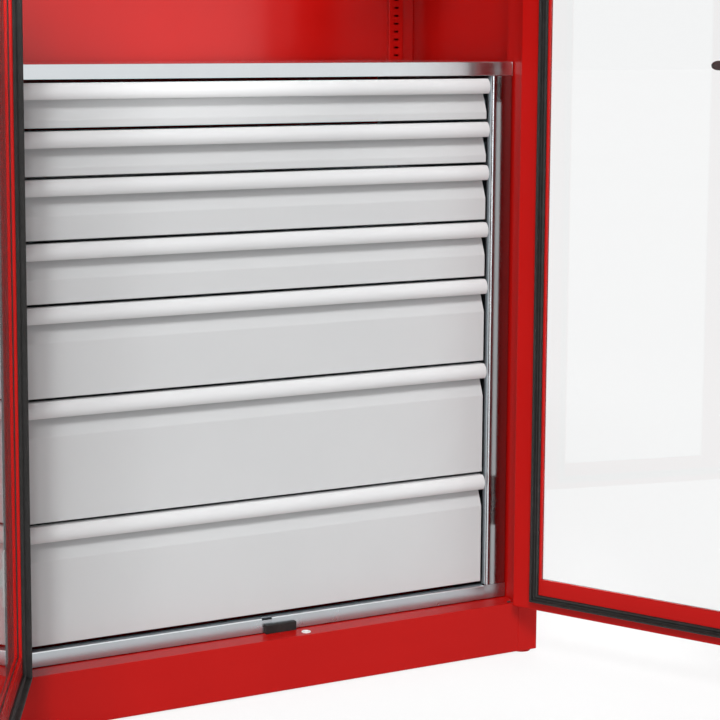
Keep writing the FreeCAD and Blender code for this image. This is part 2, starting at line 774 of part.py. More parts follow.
def door_seal(s, name):
    """Rubber strip on the inner face: along the hinge stile and both rails.

    The upright run is a low base with a lip on its hinge side, so that it
    passes the ends of the drawer grips as the door closes.
    """
    w = D["seal_wide"]
    y0, y1 = door_in, frameY - 0.5
    xh = edge - 40
    zl, zh = dl + 17, dhigh - 17
    return door_part(name, fuse(name, [
        box((xh - w) * s, xh * s, y0, y0 + 6, zl, zh, "seal_side"),
        box((xh - 4) * s, xh * s, y0 + 5, y1, zl, zh, "seal_lip"),
        box((mid + 14) * s, xh * s, y0, y1, zl, zl + w, "seal_low"),
        box((mid + 14) * s, xh * s, y0, y1, zh - w, zh, "seal_high"),
    ]), s)


def door_hinges(s, name):
    out = []
    for hz in hinge_zs:
        out.append(cut(fresh("door_leaf"), fuse(fresh("door_leaf_body"), [
            box((ax - 27) * s, ax * s, front - 2.5, front, hz - 44, hz + 44, "leaf_plate"),
            rod("z", ax * s, ay, hz + 14.8, kr, 29.2, "leaf_knuckle"),
            rod("z", ax * s, ay, hz - 44, kr, 29.2, "leaf_knuckle"),
        ]), [
            rod("z", ax * s, ay, hz - 60, pr + 0.05, 120, "pin_bore"),
            box((ax - 6.6) * s, (ax + 1) * s, front - 3.5, front + 1, hz - 14.8, hz + 14.8, "leaf_notch"),
            box((ax - 1.4) * s, (ax + 1) * s, front - 1, front + 1, hz - 50, hz + 50, "leaf_relief"),
        ]))
    return door_part(name, group(name, out), s)


for s, side in ((1, "right"), (-1, "left")):
    door_frame(s, side + "_door_frame")
    door_beads(s, side + "_door_glazing_beads")
    door_pane(s, side + "_door_pane")
    door_seal(s, side + "_door_seal")
    door_hinges(s, side + "_door_hinges")

# strip on the left door that the right door closes over
door_part("left_door_overlap_strip", fuse("left_door_overlap_strip", [
    box(q(-24), q(-1), door_in, door_in + 1.5, dl + 30, dhigh - 45, "strip_root"),
    box(q(-2.5), q(14), door_in + 0.6, door_in + 2.1, dl + 30, dhigh - 45, "strip_reach"),
]), -1)

# ---------------------------------------------------------------- lock
lx, lz = D["lock_x"], D["lock_z"]
case_in = box(q(28), q(80), front + t, door_in - 3, lz - 60, lz + 60, "case_block")
door_part("lock_case", cut("lock_case", case_in, [
    rod("z", rod_x, rod_y, lz - 61, 4.8, 122, "rod_bore"),
    rod("y", lx, front - 1, lz, 6.3, 40, "spindle_bore"),
]), 1)

guides = []
for gz in (q(330), q(690), q(1400), q(1760)):
    guides.append(cut(fresh("guide"), box(rod_x - 12, rod_x + 12, front + t, door_in - 1.5, gz, gz + 22, "guide_block"),
                      [rod("z", rod_x, rod_y, gz - 1, 4.8, 24, "guide_bore")]))
door_part("rod_guides", group("rod_guides", guides), 1)

rr = D["rod_r"]
lower = fuse("lower_rod", [
    rod("z", rod_x, rod_y, dl + 4.5, rr, lz - 26 - (dl + 4.5), "rod_shaft"),
    cone("z", rod_x, rod_y, dl + 1.5, rr - 1.5, rr, 3, "rod_tip"),
])
door_part("lower_rod", lower, 1)
upper = fuse("upper_rod", [
    rod("z", rod_x, rod_y, lz + 26, rr, (dhigh - 4.5) - (lz + 26), "rod_shaft"),
    cone("z", rod_x, rod_y, dhigh - 4.5, rr, rr - 1.5, 3, "rod_tip"),
])
door_part("upper_rod", upper, 1)

plate = cut("lock_rosette", box(lx - 19, lx + 19, front - 4, front, lz - 55, lz + 55, "rosette_plate"),
            [rod("y", lx, front - 6, lz, 14.4, 8, "rosette_hole")])
door_part("lock_rosette", plate, 1)

handle = cut("lock_handle", fuse("handle_body", [
    rod("y", lx, front - 30, lz, 14, 29.4, "handle_hub"),
    rod("y", lx, front - 2, lz, 6, 22, "spindle"),
    box(lx, lx + 104, front - 30, front - 19, lz - 9, lz + 9, "lever"),
    rod("y", lx + 104, front - 30, lz, 9, 11, "lever_tip"),
]), [rod("y", lx, front - 31, lz, 8.3, 18, "cylinder_bore")])
door_part("lock_handle", handle, 1)

door_part("lock_cylinder", cut("lock_cylinder", fuse("cylinder_body", [
    rod("y", lx, front - 31, lz, 8, 17.6, "cylinder")]),
    [box(lx - 0.9, lx + 0.9, front - 32, front - 23, lz - 4, lz + 4, "keyway")]), 1)

# ---------------------------------------------------------------- check and write
doc.recompute()
problems = []
for obj in doc.Objects:
    state = [x for x in obj.State if x in ("Invalid", "Error")]
    if state:
        problems.append("%s (%s): %s" % (obj.Name, obj.Label, state))
for obj in parts:
    shape = obj.Shape
    if shape.isNull() or not shape.isValid() or not shape.Solids:
        problems.append("%s has no valid shape" % obj.Label)
labels = [obj.Label for obj in parts]
if len(set(labels)) != len(labels):
    problems.append("two sub-parts share a name")
if problems:
    sys.exit("\n".join(problems))
os.makedirs("parts", exist_ok=True)
for obj in parts:
    obj.Shape.exportStep("parts/%s.step" % obj.Label)
print("%d sub-parts written" % len(parts))
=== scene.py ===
import json
import math

import bmesh
import bpy
from mathutils import Matrix, Vector


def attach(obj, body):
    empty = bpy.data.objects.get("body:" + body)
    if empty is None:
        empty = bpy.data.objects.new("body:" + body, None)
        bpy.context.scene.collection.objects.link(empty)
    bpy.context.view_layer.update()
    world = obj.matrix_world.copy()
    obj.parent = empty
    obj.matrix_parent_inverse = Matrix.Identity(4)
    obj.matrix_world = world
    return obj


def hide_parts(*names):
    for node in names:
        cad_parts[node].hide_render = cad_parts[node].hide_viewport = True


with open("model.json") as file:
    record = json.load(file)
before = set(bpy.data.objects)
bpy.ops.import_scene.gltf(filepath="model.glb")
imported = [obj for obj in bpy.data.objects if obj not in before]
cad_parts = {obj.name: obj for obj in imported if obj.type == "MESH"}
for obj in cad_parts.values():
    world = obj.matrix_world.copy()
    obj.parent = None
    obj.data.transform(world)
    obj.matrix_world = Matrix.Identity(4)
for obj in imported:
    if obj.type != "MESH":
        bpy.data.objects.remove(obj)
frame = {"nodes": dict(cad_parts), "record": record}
NODES = frame["nodes"]
BODY_OF = {n: b for b, ns in frame["record"]["behaviour"]["bodies"].items() for n in ns}
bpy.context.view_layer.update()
scene = bpy.context.scene
collection = scene.collection

# ------------------------------------------------------------------ camera
cam_data = bpy.data.cameras.new("camera")
cam_data.sensor_width = 36.0
cam_data.lens = 1980.9 / 720.0 * 36.0
cam_data.shift_x = 0.128
cam_data.shift_y = -0.100
cam_data.dof.use_dof = False
cam_data.clip_start, cam_data.clip_end = 0.05, 200.0
camera = bpy.data.objects.new("camera", cam_data)
collection.objects.link(camera)
camera.location = (-1.4961, -3.0764, 1.0884)
camera.rotation_euler = (math.radians(90.0 - 7.086), 0.0, math.radians(-27.377))
scene.camera = camera

scene.view_settings.view_transform = "Standard"
scene.view_settings.look = "None"

# ------------------------------------------------------------------ materials


class Graph:
    """A small helper around one material's node tree."""

    def __init__(self, name):
        self.m = bpy.data.materials.new(name)
        self.m.use_nodes = True
        self.t = self.m.node_tree
        self.t.nodes.clear()
        self.out = self.t.nodes.new("ShaderNodeOutputMaterial")
        self.p = self.t.nodes.new("ShaderNodeBsdfPrincipled")
        self.t.links.new(self.p.outputs[0], self.out.inputs[0])
        self.coord = self.t.nodes.new("ShaderNodeTexCoord")

    def set(self, **values):
        for k, v in values.items():
            self.p.inputs[k.replace("_", " ")].default_value = v

    def mapped(self, scale=(1, 1, 1)):
        n = self.t.nodes.new("ShaderNodeMapping")
        n.inputs["Scale"].default_value = scale
        self.t.links.new(self.coord.outputs["Object"], n.inputs[0])
        return n.outputs[0]

    def noise(self, scale, detail=3.0, rough=0.5, vector=None, distortion=0.0):
        n = self.t.nodes.new("ShaderNodeTexNoise")
        n.inputs["Scale"].default_value = scale
        n.inputs["Detail"].default_value = detail
        n.inputs["Roughness"].default_value = rough
        n.inputs["Distortion"].default_value = distortion
        self.t.links.new(vector or self.coord.outputs["Object"], n.inputs["Vector"])
        return n.outputs[0]

    def spread(self, value, low, high, a=0.3, b=0.7):
        n = self.t.nodes.new("ShaderNodeMapRange")
        n.inputs["From Min"].default_value = a
        n.inputs["From Max"].default_value = b
        n.inputs["To Min"].default_value = low
        n.inputs["To Max"].default_value = high
        self.t.links.new(value, n.inputs["Value"])
        return n.outputs[0]

    def blend(self, value, colour_a, colour_b):
        n = self.t.nodes.new("ShaderNodeMix")
        n.data_type = "RGBA"
        for socket, c in ((n.inputs[6], colour_a), (n.inputs[7], colour_b)):
            if hasattr(c, "node"):
                self.t.links.new(c, socket)
            else:
                socket.default_value = (*c, 1.0)
        self.t.links.new(value, n.inputs[0])
        return n.outputs[2]

    def bump(self, layers):
        """layers: (height socket, strength, distance in metres)."""
        last = None
        for height, strength, distance in layers:
            n = self.t.nodes.new("ShaderNodeBump")
            n.inputs["Strength"].default_value = strength
            n.inputs["Distance"].default_value = distance
            self.t.links.new(height, n.inputs["Height"])
            if last is not None:
                self.t.links.new(last, n.inputs["Normal"])
            last = n.outputs[0]
        self.t.links.new(last, self.p.inputs["Normal"])

    def feed(self, name, socket):
        self.t.links.new(socket, self.p.inputs[name])


def paint(name, colour, dark, rough, specular, worn=None, peel=0.05):
    """Powder coat: even colour with a faint drift, a fine orange peel, and slightly thinner coat on edges."""
    g = Graph(name)
    g.set(Metallic=0.0, IOR=1.5, Specular_IOR_Level=specular)
    drift = g.spread(g.noise(4.0, 4.0, 0.55), 0.0, 1.0)
    base = g.blend(drift, colour, dark)
    if worn is not None:
        rub = g.spread(g.noise(38.0, 4.0, 0.6), 0.0, 0.5, 0.50, 0.72)
        base = g.blend(rub, base, worn)
    g.feed("Base Color", base)
    g.feed("Roughness", g.spread(g.noise(17.0, 4.0, 0.6), rough - 0.02, rough + 0.03))
    g.bump([
        (g.noise(2.7, 2.0, 0.4), 0.06, 0.0010),
        (g.noise(520.0, 2.0, 0.5), peel, 0.00004),
    ])
    return g.m


def zinc(name, colour, dark, rough, spread=0.04, cells=70.0):
    """Zinc-coated sheet: smooth metal with a faint crystal pattern and a drift in gloss."""
    g = Graph(name)
    g.set(Metallic=1.0)
    cloud = g.noise(14.0, 4.0, 0.55, distortion=0.3)
    voronoi = g.t.nodes.new("ShaderNodeTexVoronoi")
    voronoi.inputs["Scale"].default_value = cells
    g.t.links.new(g.coord.outputs["Object"], voronoi.inputs["Vector"])
    crystals = g.spread(voronoi.outputs["Color"], 0.0, 0.22, 0.0, 1.0)
    base = g.blend(g.spread(cloud, 0.0, 1.0), colour, dark)
    base = g.blend(crystals, base, tuple(0.45 * a + 0.55 * b for a, b in zip(colour, dark)))
    g.feed("Base Color", base)
    g.feed("Roughness", g.spread(g.noise(26.0, 3.0, 0.5), rough, rough + spread))
    g.bump([(g.noise(5.0, 2.0, 0.4), 0.04, 0.0004)])
    return g.m


def bright(name, colour, rough, metallic=1.0):
    g = Graph(name)
    g.set(Metallic=metallic)
    n = g.noise(90.0, 4.0, 0.6)
    g.feed("Base Color", g.blend(g.spread(n, 0.0, 1.0), colour, tuple(c * 0.86 for c in colour)))
    g.feed("Roughness", g.spread(g.noise(55.0, 5.0, 0.6), rough, rough + 0.09))
    g.bump([(g.noise(700.0, 2.0), 0.05, 0.00004)])
    return g.m


def rubber(name, colour, rough):
    g = Graph(name)
    g.set(Metallic=0.0, IOR=1.5, Specular_IOR_Level=0.22)
    n = g.noise(70.0, 5.0, 0.65)
    g.feed("Base Color", g.blend(g.spread(n, 0.0, 1.0), colour, tuple(min(1.0, c * 1.5 + 0.004) for c in colour)))
    g.feed("Roughness", g.spread(g.noise(34.0, 4.0), rough, rough + 0.12))
    g.bump([(g.noise(1500.0, 2.0), 0.10, 0.00004)])
    return g.m


def plastic(name, colour, rough, grain=900.0, dim=0.9):
    g = Graph(name)
    g.set(Metallic=0.0, IOR=1.49, Specular_IOR_Level=0.5)
    n = g.noise(40.0, 4.0, 0.6)
    g.feed("Base Color", g.blend(g.spread(n, 0.0, 1.0), colour, tuple(c * dim for c in colour)))
    g.feed("Roughness", g.spread(g.noise(60.0, 3.0), rough, rough + 0.1))
    g.bump([(g.noise(grain, 2.0), 0.12, 0.00006)])
    return g.m


def glazing(name):
    """Clear sheet; lamps' rays pass it unbent, so that it casts no hard shadow."""
    g = Graph(name)
    g.set(Metallic=0.0, IOR=1.45, Transmission_Weight=1.0, Alpha=1.0)
    g.p.inputs["Base Color"].default_value = (0.935, 0.940, 0.940, 1.0)
    g.feed("Roughness", g.spread(g.noise(14.0, 4.0, 0.6), 0.0, 0.02))
    g.bump([(g.noise(1.6, 2.0), 0.02, 0.0003)])
    clear = g.t.nodes.new("ShaderNodeBsdfTransparent")
    clear.inputs["Color"].default_value = (0.90, 0.91, 0.91, 1.0)
    path = g.t.nodes.new("ShaderNodeLightPath")
    mix = g.t.nodes.new("ShaderNodeMixShader")
    g.t.links.new(path.outputs["Is Shadow Ray"], mix.inputs[0])
    g.t.links.new(g.p.outputs[0], mix.inputs[1])
    g.t.links.new(clear.outputs[0], mix.inputs[2])
    g.t.links.new(mix.outputs[0], g.out.inputs[0])
    return g.m


RED, RED_DARK = (0.460, 0.0055, 0.0040), (0.432, 0.0049, 0.0036)
GREY, GREY_DARK = (0.560, 0.568, 0.573), (0.540, 0.549, 0.555)
M = {
    "red_ledge": paint("red_powder_coat_ledge", RED, RED_DARK, 0.36, 0.95),
    # darker, bluish copy of the rail's zinc for its shelf and return: painted shade
    "rail_shelf": bright("zinc_rail_shelf_painted_shade", (0.36, 0.42, 0.46), 0.42, 0.45),
    # paler zinc for the filler's wide bend: painted highlight
    "painted_highlight_bend": bright("zinc_bend_painted_highlight", (0.64, 0.66, 0.69), 0.20),
    "red": paint("red_powder_coat", RED, RED_DARK, 0.24, 0.13),
    "red_edge": paint("red_powder_coat_edge", RED, RED_DARK, 0.30, 0.18, worn=(0.50, 0.020, 0.014)),
    "red_gloss": paint("red_powder_coat_back", RED, RED_DARK, 0.17, 0.62, peel=0.03),
    "grey": paint("grey_powder_coat", GREY, GREY_DARK, 0.40, 0.30, peel=0.04),
    # grips in a paler grey than the drawer fronts: painted highlight for the brighter light on the grips
    "grip": paint("grip_grey_painted_highlight", (0.665, 0.672, 0.678), (0.645, 0.653, 0.660), 0.38, 0.34, peel=0.03),
    "grey_edge": paint("grey_powder_coat_edge", GREY, GREY_DARK, 0.42, 0.30, worn=(0.62, 0.63, 0.64)),
    "zinc": zinc("zinc_sheet", (0.700, 0.735, 0.755), (0.665, 0.700, 0.722), 0.20),
    "zinc_edge": zinc("zinc_sheet_edge", (0.80, 0.84, 0.86), (0.75, 0.79, 0.81), 0.34),
    "rail_zinc": zinc("zinc_sheet_rail", (0.470, 0.508, 0.532), (0.445, 0.482, 0.506), 0.27),
    # dark zinc for the housing sides: painted shade, so they read as the shaded band beside the drawers
    "painted_shade_zinc": zinc("zinc_sheet_painted_shade", (0.230, 0.262, 0.280), (0.205, 0.235, 0.252), 0.32),
    "mirror_zinc": zinc("bright_zinc_sheet", (0.350, 0.358, 0.368), (0.328, 0.336, 0.346), 0.12, 0.03),
    # pale, rough zinc for the filler's lip beside the drawers: painted highlight
    "painted_highlight_fold": bright("zinc_fold_painted_highlight", (0.80, 0.84, 0.86), 0.42, 0.35),
    "hardware": bright("bright_hardware", (0.62, 0.62, 0.61), 0.24),
    "hardware_edge": bright("bright_hardware_edge", (0.78, 0.78, 0.77), 0.28),
    "black_steel": bright("blackened_steel", (0.020, 0.020, 0.020), 0.35, 0.3),
    "chrome": bright("polished_chrome", (0.78, 0.78, 0.79), 0.06),
    "rubber": rubber("black_rubber", (0.0125, 0.0115, 0.0110), 0.42),
    "black": plastic("black_moulding", (0.020, 0.0195, 0.019), 0.38),
    "white": plastic("white_moulding", (0.86, 0.86, 0.85), 0.28, dim=0.96),
    "roller": plastic("grey_nylon", (0.16, 0.165, 0.17), 0.36),
    "glass": glazing("clear_pane"),
}

# ------------------------------------------------------------------ folded and rounded pieces


def face_width(f):
    """Width of a long narrow face, or about half the side of a square one."""
    round_ = sum(e.calc_length() for e in f.edges)
    return f.calc_area() / max(round_ / 2, 1e-9)


def finish_mesh(obj, materials, body, stands_for=()):
    obj.data.materials.clear()
    for m in materials:
        obj.data.materials.append(m)
    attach(obj, body)
    if stands_for:
        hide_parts(*stands_for)
    return obj


def fine(node, main, edge=None, small=0.00042, large=0.0016, share=0.34, bend=35.0, bend_radius=None,
         segments=3, smooth=28.0, part_material=None):
    """A copy of a CAD node with real radii: folds get the large radius, cut edges a small one."""
    bm = bmesh.new()
    bm.from_mesh(NODES[node].data)
    bmesh.ops.remove_doubles(bm, verts=bm.verts[:], dist=6e-6)
    bmesh.ops.dissolve_limit(bm, angle_limit=math.radians(0.25), use_dissolve_boundaries=False,
                             verts=bm.verts[:], edges=bm.edges[:])
    bmesh.ops.recalc_face_normals(bm, faces=bm.faces[:])
    layer = bm.edges.layers.float.new("bevel_weight_edge")
    low_bend = math.radians(bend if bend_radius is None else 10.0)
    widths = {f: face_width(f) for f in bm.faces}
    top = max(large, bend_radius or 0.0)
    for e in bm.edges:
        if len(e.link_faces) != 2:
            continue
        angle = e.calc_face_angle_signed(0.0)
        if angle == 0.0 or abs(angle) < low_bend:
            continue
        a, b = e.link_faces
        reach = min(widths[a], widths[b])
        if bend_radius is not None and abs(angle) < math.radians(35.0):
            radius = min(bend_radius, share * reach)
        elif angle > 0:
            radius = min(large if reach > 0.004 else small, share * reach)
        else:
            continue
        if e.calc_length() < radius * 2.2:
            radius = e.calc_length() / 2.2
        e[layer] = max(0.0, min(1.0, radius / top))
    mesh = bpy.data.meshes.new(node + "_rough")
    bm.to_mesh(mesh)
    bm.free()
    for poly in mesh.polygons:
        poly.use_smooth = True
        poly.material_index = 0
    obj = bpy.data.objects.new(node + "_rough", mesh)
    collection.objects.link(obj)
    mod = obj.modifiers.new("round", "BEVEL")
    mod.limit_method = "WEIGHT"
    mod.offset_type = "OFFSET"
    mod.width = top
    mod.segments = segments
    mod.use_clamp_overlap = False
    flat = obj.modifiers.new("flat_faces", "WEIGHTED_NORMAL")
    flat.mode = "FACE_AREA"
    flat.weight = 50
    flat.keep_sharp = True
    mesh.materials.append(main)
    if edge is not None:
        mesh.materials.append(edge)
        mod.material = 1
    mesh.set_sharp_from_angle(angle=math.radians(smooth))
    dg = bpy.context.evaluated_depsgraph_get()
    made = bpy.data.meshes.new_from_object(obj.evaluated_get(dg), preserve_all_data_layers=True, depsgraph=dg)
    bpy.data.objects.remove(obj)
    bpy.data.meshes.remove(mesh)
    made.name = node + "_skin"
    new = bpy.data.objects.new(node + "_skin", made)
    collection.objects.link(new)
    mats = [main] + ([edge] if edge is not None else [])
    if part_material is not None:
        test, material = part_material
        mats.append(material)
        k = len(mats) - 1
        for poly in made.polygons:
            if test(poly.center, poly.normal):
                poly.material_index = k
    return finish_mesh(new, mats, BODY_OF[node], [node])


def as_object(bm, name, materials, body, stands_for=(), smooth=28.0):
    """Turns a bmesh into a finished piece with outward faces and sharp edges by angle."""
    bmesh.ops.recalc_face_normals(bm, faces=bm.faces[:])
    mesh = bpy.data.meshes.new(name)
    bm.to_mesh(mesh)
    bm.free()
    indices = [p.material_index for p in mesh.polygons]
    for poly in mesh.polygons:
        poly.use_smooth = True
    mesh.set_sharp_from_angle(angle=math.radians(smooth))
    obj = bpy.data.objects.new(name, mesh)
    collection.objects.link(obj)
    finish_mesh(obj, materials, body, stands_for)
    for poly, k in zip(mesh.polygons, indices):
        poly.material_index = k
    return obj


def loft(bm, rings, caps=True):
    """Quads between closed rings of equal length, the two ends closed."""
    made = [[bm.verts.new(p) for p in ring] for ring in rings]
    n = len(made[0])
    for a, b in zip(made, made[1:]):
        for i in range(n):
            j = (i + 1) % n
            bm.faces.new((a[i], a[j], b[j], b[i]))
    if caps:
        bm.faces.new(made[0][::-1])
        bm.faces.new(made[-1])
    return made


def folded(points, radii, gauge, steps=6):
    """Outer and inner line of a folded sheet; it turns left at every corner, its thickness on the left.

    Returns the two lines and a tag for each stretch: even for flats, odd for bends.
    """
    outer, inner, tags = [], [], []

    def step(p, d, r=0.0, n=None):
        outer.append(p)
        n = (-d[1], d[0]) if n is None else n
        inner.append((p[0] + n[0] * gauge, p[1] + n[1] * gauge))

    dirs = []
    for a, b in zip(points, points[1:]):
        length = math.hypot(b[0] - a[0], b[1] - a[1])
        dirs.append(((b[0] - a[0]) / length, (b[1] - a[1]) / length))
    step(points[0], dirs[0])
    for k, r in enumerate(radii):
        corner, d1, d2 = points[k + 1], dirs[k], dirs[k + 1]
        centre = (corner[0] + r * (d2[0] - d1[0]), corner[1] + r * (d2[1] - d1[1]))
        for i in range(steps + 1):
            a = math.pi / 2 * i / steps
            out = (math.cos(a) * -d2[0] + math.sin(a) * d1[0], math.cos(a) * -d2[1] + math.sin(a) * d1[1])
            step((centre[0] + r * out[0], centre[1] + r * out[1]), d1, n=(-out[0], -out[1]))
            tags.append(2 * k if i == 0 else 2 * k + 1)
    step(points[-1], dirs[-1])
    tags.append(2 * len(radii))
    return outer, inner, tags


def folded_bar(bm, profile, place, a, b, material_of):
    """Runs a folded profile from a to b; place(u, v, w) gives the point."""
    outer, inner, tags = profile
    ends = []
    for w in (a, b):
        ends.append(([bm.verts.new(place(u, v, w)) for u, v in outer], [bm.verts.new(place(u, v, w)) for u, v in inner]))
    (oa, ia), (ob, ib) = ends
    for i, tag in enumerate(tags):
        for quad in ((oa[i], oa[i + 1], ob[i + 1], ob[i]), (ia[i], ib[i], ib[i + 1], ia[i + 1]),
                     (oa[i], ia[i], ia[i + 1], oa[i + 1]), (ob[i], ob[i + 1], ib[i + 1], ib[i])):
            bm.faces.new(quad).material_index = material_of(tag)
    for i in (0, len(outer) - 1):
        bm.faces.new((oa[i], ob[i], ib[i], ia[i])).material_index = material_of(tags[0 if i == 0 else -1])


def door_turn(s):
    """From the closed drawing position of a door to its open rest position."""
    axis = Vector((0.485 * s, -0.232, 0.0))
    return Matrix.Translation(axis) @ Matrix.Rotation(math.radians(116.0) * s, 4, "Z") @ Matrix.Translation(-axis)


red = dict(main=M["red"], edge=M["red_edge"])
for node in ("side_panel_left", "side_panel_right"):
    fine(node, large=0.0011, **red)
fine("top_panel", large=0.0011, **red)
fine("base_tray", large=0.0022, part_material=(lambda c, n: n.z > 0.9 and c.z > 0.0945, M["red_ledge"]), **red)
fine("back_panel", M["red_gloss"], M["red_edge"], large=0.0018, part_material=(lambda c, n: n.y > 0.5, M["red"]))
for node in ("shelf_lower", "shelf_upper"):
    fine(node, large=0.0016, **red)
fine("shelf_uprights", large=0.0010, small=0.0003, segments=2, **red)
for side in ("right", "left"):
    fine(side + "_door_frame", large=0.0024, **red)
    fine(side + "_door_glazing_beads", M["rubber"], None, small=0.0002, large=0.0003, segments=2)
    fine(side + "_door_hinges", M["hardware"], M["hardware_edge"], small=0.0003, large=0.0004)
    fine(side + "_door_pane", M["glass"], None, small=0.0004, large=0.0004, segments=2)
fine("left_door_overlap_strip", **red)

zn = dict(main=M["zinc"], edge=M["zinc_edge"])
fine("housing_top", large=0.0011, **zn)
fine("housing_rear_braces", large=0.0010, **zn)
# the housing sides take the dark zinc: painted shade in the slot beside the drawers
fine("housing_sides", M["painted_shade_zinc"], M["painted_shade_zinc"], large=0.0010)

# bottom rail: face, bend, inward shelf and rear return, with a short notch in the middle of the bend
bm = bmesh.new()
whole = folded([(0.184, 0.0966), (0.184, 0.1212), (0.166, 0.1212), (0.166, 0.0966)], (0.0019, 0.0019), 0.0012)
below = folded([(0.184, 0.0966), (0.184, 0.1177)], (), 0.0012)
behind = folded([(0.178, 0.1212), (0.166, 0.1212), (0.166, 0.0966)], (0.0019,), 0.0012)
face_only = folded([(0.184, 0.0966), (0.184, 0.1212)], (), 0.0012)


def along_x(u, v, w):
    return (w, -u, v)


# the shelf and rear return take the darker, bluish zinc: painted shade on the rail's top
rail_materials = {0: 0, 1: 1, 2: 2, 3: 2, 4: 2}
# the stretches end a hair apart, so that each is a closed solid of its own
for a, b in ((-0.43739, -0.00951), (0.00951, 0.43739)):
    folded_bar(bm, whole, along_x, a, b, rail_materials.get)
folded_bar(bm, below, along_x, -0.00949, 0.00949, lambda tag: 0)
folded_bar(bm, behind, along_x, -0.00949, 0.00949, lambda tag: 2)
for a, b in ((-0.4828, -0.43741), (0.43741, 0.4828)):
    folded_bar(bm, face_only, along_x, a, b, lambda tag: 0)
as_object(bm, "housing_bottom_rail_skin", [M["rail_zinc"], M["zinc_edge"], M["rail_shelf"]],
          BODY_OF["housing_bottom_rail"], ["housing_bottom_rail"])

# filler panels: a wide bend beside the drawers, the face, and a return at the post
bm = bmesh.new()
filler_line = folded([(0.4425, -0.177), (0.4425, -0.184), (0.4828, -0.184), (0.4828, -0.168)], (0.0032, 0.0020), 0.0012)
for s in (1, -1):
    # the lip and the wide bend take paler zinc than the face: painted highlight on one sheet
    folded_bar(bm, filler_line, lambda u, v, w, s=s: (u * s, v, w), 0.1216, 1.0296, {0: 1, 1: 2, 2: 0, 3: 0, 4: 0}.get)
as_object(bm, "housing_filler_panels_skin", [M["mirror_zinc"], M["painted_highlight_fold"], M["painted_highlight_bend"]],
          BODY_OF["housing_filler_panels"], ["housing_filler_panels"])

fine("shelf_clips", small=0.0002, large=0.0004, segments=2, **zn)
# drawer gap lines below each drawer, for the rollers
gap_lines = [0.9525, 0.8775, 0.7775, 0.6775, 0.5275, 0.3275, 0.1275]


def front_roller(c, n):
    return 0.4262 < abs(c.x) < 0.4344 and any(
        math.hypot(c.y + 0.152, c.z - (g + 0.020)) < 0.0106 for g in gap_lines)


fine("drawer_slide_rails", M["zinc"], M["zinc_edge"], small=0.0003, large=0.0006, segments=2,
     part_material=(front_roller, M["roller"]))
for k in range(1, 8):
    fine("drawer_%d_front" % k, M["grey"], M["grey_edge"], large=0.0012, bend_radius=0.0011, segments=3)
    fine("drawer_%d_grip" % k, M["grip"], M["grip"], small=0.0003, large=0.0007)
    fine("drawer_%d_tray" % k, small=0.0003, large=0.0010, segments=2, part_material=(
        lambda c, n, g=gap_lines[k - 1]: 0.4268 < abs(c.x) < 0.4350 and math.hypot(c.y - 0.158, c.z - (g + 0.020)) < 0.0145,
        M["roller"]), **zn)

fine("door_stop", M["rubber"], None, large=0.0003)
fine("rod_bushes", M["white"], None, small=0.0003, large=0.0004)
fine("rod_guides", M["white"], None, large=0.0010)
fine("levelling_feet", M["red"], None, large=0.0005)
fine("ledge_screws", M["black_steel"], None, small=0.0002, large=0.0005)
fine("hinge_post_leaves", M["hardware"], M["hardware_edge"], small=0.0004, large=0.0008)
fine("hinge_pins", M["hardware"], M["hardware_edge"], small=0.0003, large=0.0005)
fine("lock_case", M["hardware"], M["hardware_edge"], large=0.0012)
fine("lower_rod", M["hardware"], None, small=0.0002, large=0.0004)
fine("upper_rod", M["hardware"], None, small=0.0002, large=0.0004)
fine("lock_rosette", M["black"], None, large=0.0016)
fine("lock_cylinder", M["chrome"], None, small=0.0002, large=0.0003)

# lever handle: a turned hub with a bore for the key cylinder, and a waisted lever with a rounded end
FRONT, LOCK_X, LOCK_Z = -0.225, 0.044, 1.050
bm = bmesh.new()
turned = [(13.6, -0.6), (14.0, -1.2), (14.0, -3.4), (13.0, -4.4), (12.6, -6.0), (12.6, -13.5), (13.1, -16.0),
          (13.8, -18.2), (14.0, -20.0), (14.0, -27.4), (13.7, -28.7), (13.0, -29.6), (12.0, -30.0), (9.1, -30.0),
          (8.5, -29.8), (8.3, -29.3), (8.3, -13.1), (6.0, -13.0)]
rings = []
for r, y in turned:
    rings.append([(LOCK_X + r / 1000 * math.cos(a), FRONT + y / 1000, LOCK_Z + r / 1000 * math.sin(a))
                  for a in (2 * math.pi * i / 56 for i in range(56))])
loft(bm, rings)


def between(x, table):
    for (xa, va), (xb, vb) in zip(table, table[1:]):
        if x <= xb:
            k = (x - xa) / (xb - xa)
            k = k * k * (3 - 2 * k)
            return va + (vb - va) * k
    return table[-1][1]


stations = [9, 11, 13, 18, 25, 33, 42, 52, 62, 72, 82, 91, 98, 103, 106, 108.4, 110.2, 111.5, 112.4, 112.85, 113.0]
rings = []
for x in stations:
    wide = between(x, [(0, 8.8), (14, 8.7), (55, 6.9), (95, 8.1), (120, 8.1)])
    thick = between(x, [(0, 5.4), (14, 5.3), (60, 4.2), (95, 4.7), (120, 4.7)])
    lean = between(x, [(0, -24.5), (14, -24.5), (60, -24.9), (95, -25.1), (120, -25.1)])
    if x > 100:
        tip = math.sqrt(max(0.0, 1.0 - ((x - 100) / 13.0) ** 2))
        wide, thick = wide * max(tip, 0.06), thick * max(tip, 0.06) ** 0.7
    ring = []
    for i in range(32):
        a = 2 * math.pi * i / 32
        ca, sa = math.cos(a), math.sin(a)
        ring.append((LOCK_X + x / 1000, FRONT + (lean + thick * math.copysign(abs(ca) ** 0.72, ca)) / 1000,
                     LOCK_Z + wide * math.copysign(abs(sa) ** 0.72, sa) / 1000))
    rings.append(ring)
loft(bm, rings)
